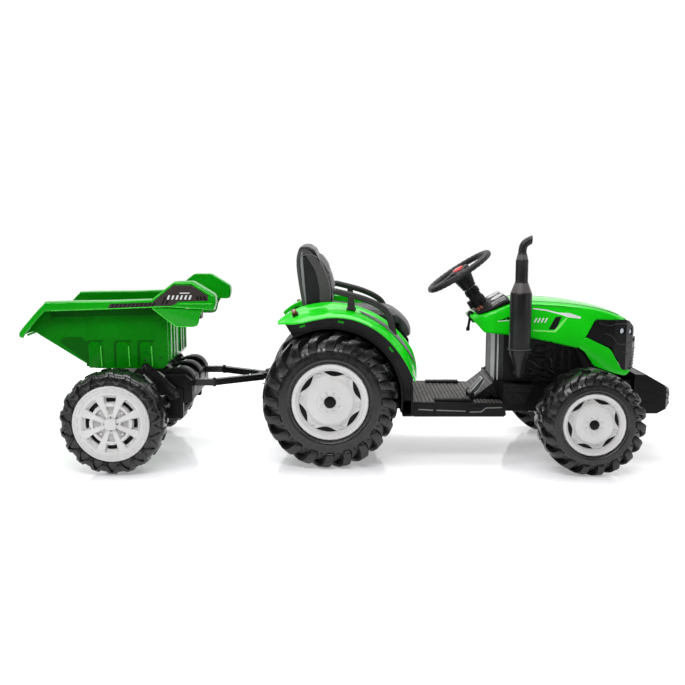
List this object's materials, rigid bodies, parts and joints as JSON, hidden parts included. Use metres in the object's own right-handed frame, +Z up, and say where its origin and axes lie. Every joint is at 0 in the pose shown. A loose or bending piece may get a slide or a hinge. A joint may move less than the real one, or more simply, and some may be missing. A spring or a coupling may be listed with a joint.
{
  "type": "toy tractor",
  "caption": "Ride-on toy tractor with steered front wheels, big driven rear wheels, bucket seat, exhaust stack and a towed tipping tub trailer.",
  "frame": {"origin": "centre of the footprint on the floor, under the assembly's bounding box", "axes": "+X the way the tractor drives, +Y its left side, +Z up"},
  "size_m": [2.032, 0.664, 0.7129],
  "materials": {
    "green_plastic": "glossy",
    "black_plastic": "satin",
    "dark_grey_plastic": "satin",
    "leather": "grained",
    "white_plastic": "glossy",
    "red_plastic": "glossy",
    "lamp_white": "glossy",
    "lamp_red": "glossy",
    "tyre": "matte",
    "steel": "brushed",
    "black_steel": "satin"
  },
  "bodies": {
    "chassis": {"rear_body": "black_plastic", "front_chassis": "black_plastic", "footboard": "black_plastic", "seat_cushion": "leather", "seat_back_shell": "dark_grey_plastic", "seat_back_pad": "leather", "fender_left": "green_plastic", "fender_right": "green_plastic", "armrest_left": "dark_grey_plastic", "armrest_right": "dark_grey_plastic", "tail_lights": "lamp_red", "hood": "green_plastic", "engine_block": "black_plastic", "dash_panel": "black_plastic", "grille_mask": "black_plastic", "headlights": "lamp_white", "front_bumper": "black_plastic", "exhaust_stack": "dark_grey_plastic", "rear_axle": "steel", "front_axle_beam": "steel", "hitch_bracket": "black_plastic", "hitch_pin": "steel", "battery": "dark_grey_plastic", "gearbox_left": "dark_grey_plastic", "gearbox_right": "dark_grey_plastic", "motor_left": "steel", "motor_right": "steel"},
    "steering": {"steering_wheel": "black_plastic", "steering_shaft": "steel"},
    "horn": {"horn_button": "red_plastic"},
    "accelerator": {"pedal": "black_plastic"},
    "lever": {"gear_lever": "black_plastic"},
    "knuckle_l": {"knuckle_left": "steel"},
    "knuckle_r": {"knuckle_right": "steel"},
    "track_rod": {"tie_rod": "steel"},
    "front_wheel_l": {"front_tyre_left": "tyre", "front_rim_left": "white_plastic"},
    "front_wheel_r": {"front_tyre_right": "tyre", "front_rim_right": "white_plastic"},
    "rear_wheel_l": {"rear_tyre_left": "tyre", "rear_rim_left": "white_plastic", "drive_gear_left": "white_plastic"},
    "rear_wheel_r": {"rear_tyre_right": "tyre", "rear_rim_right": "white_plastic", "drive_gear_right": "white_plastic"},
    "pinion_l": {"motor_pinion_left": "steel"},
    "pinion_r": {"motor_pinion_right": "steel"},
    "trailer": {"trailer_frame": "black_plastic", "drawbar_left": "black_steel", "drawbar_right": "black_steel", "hitch_tongue": "black_plastic", "tub_arms": "black_steel", "trailer_axle": "steel"},
    "dump_tub": {"tub": "green_plastic"},
    "tub_release": {"tub_latch": "dark_grey_plastic"},
    "trailer_wheel_l": {"trailer_tyre_left": "tyre", "trailer_rim_left": "white_plastic"},
    "trailer_wheel_r": {"trailer_tyre_right": "tyre", "trailer_rim_right": "white_plastic"}
  },
  "joints": [
    {"name": "steering_turn", "type": "hinge", "parent": "chassis", "child": "steering", "pos_m": [0.349, 0, 0.592], "axis": [-0.5519, 0, 0.8339], "range_deg": [-40, 40]},
    {"name": "horn_press", "type": "slide", "parent": "steering", "child": "horn", "axis": [0.5519, 0, -0.8339], "range_m": [0, 0.0025], "stiffness_N_per_m": 1500},
    {"name": "pedal_press", "type": "hinge", "parent": "chassis", "child": "accelerator", "pos_m": [0.378, -0.1, 0.212], "axis": [0, 1, 0], "range_deg": [0, 8], "stiffness_Nm_per_rad": 4},
    {"name": "lever_throw", "type": "hinge", "parent": "chassis", "child": "lever", "pos_m": [0.384, -0.0335, 0.457], "axis": [0, 1, 0], "range_deg": [-10, 12]},
    {"name": "knuckle_turn_left", "type": "hinge", "parent": "chassis", "child": "knuckle_l", "pos_m": [0.716, 0.18, 0.158], "axis": [0, 0, 1], "range_deg": [-24.1, 24.1]},
    {"name": "knuckle_turn_right", "type": "hinge", "parent": "chassis", "child": "knuckle_r", "pos_m": [0.716, -0.18, 0.158], "axis": [0, 0, 1], "range_deg": [-24.1, 24.1]},
    {"name": "tie_rod_slide", "type": "slide", "parent": "chassis", "child": "track_rod", "axis": [0, 1, 0], "range_m": [-0.0252, 0.0252]},
    {"name": "front_wheel_spin_left", "type": "hinge", "parent": "knuckle_l", "child": "front_wheel_l", "pos_m": [0.716, 0.266, 0.158], "axis": [0, 1, 0], "continuous": true},
    {"name": "front_wheel_spin_right", "type": "hinge", "parent": "knuckle_r", "child": "front_wheel_r", "pos_m": [0.716, -0.266, 0.158], "axis": [0, 1, 0], "continuous": true},
    {"name": "rear_wheel_spin_left", "type": "hinge", "parent": "chassis", "child": "rear_wheel_l", "pos_m": [-0.068, 0.172, 0.21], "axis": [0, 1, 0], "continuous": true},
    {"name": "rear_wheel_spin_right", "type": "hinge", "parent": "chassis", "child": "rear_wheel_r", "pos_m": [-0.068, -0.172, 0.21], "axis": [0, 1, 0], "continuous": true},
    {"name": "pinion_spin_left", "type": "hinge", "parent": "chassis", "child": "pinion_l", "pos_m": [-0.008, 0.066, 0.21], "axis": [0, 1, 0], "continuous": true},
    {"name": "pinion_spin_right", "type": "hinge", "parent": "chassis", "child": "pinion_r", "pos_m": [-0.008, -0.066, 0.21], "axis": [0, 1, 0], "continuous": true},
    {"name": "trailer_yaw", "type": "hinge", "parent": "chassis", "child": "trailer", "pos_m": [-0.262, 0, 0.25], "axis": [0, 0, 1], "range_deg": [-35, 35]},
    {"name": "tub_tip", "type": "hinge", "parent": "trailer", "child": "dump_tub", "pos_m": [-0.64, 0, 0.308], "axis": [0, -1, 0], "range_deg": [0, 35]},
    {"name": "latch_pull", "type": "hinge", "parent": "dump_tub", "child": "tub_release", "pos_m": [-0.494, 0, 0.478], "axis": [0, 1, 0], "range_deg": [0, 25]},
    {"name": "trailer_wheel_spin_left", "type": "hinge", "parent": "trailer", "child": "trailer_wheel_l", "pos_m": [-0.718, 0.2665, 0.159], "axis": [0, 1, 0], "continuous": true},
    {"name": "trailer_wheel_spin_right", "type": "hinge", "parent": "trailer", "child": "trailer_wheel_r", "pos_m": [-0.718, -0.2665, 0.159], "axis": [0, 1, 0], "continuous": true}
  ],
  "couplings": [
    {"joint": "knuckle_turn_left", "follows": "steering_turn", "ratio": 0.6},
    {"joint": "knuckle_turn_right", "follows": "steering_turn", "ratio": 0.6},
    {"joint": "tie_rod_slide", "follows": "steering_turn", "m_per_rad": -0.036},
    {"joint": "pinion_spin_left", "follows": "rear_wheel_spin_left", "ratio": -4},
    {"joint": "pinion_spin_right", "follows": "rear_wheel_spin_right", "ratio": -4}
  ]
}
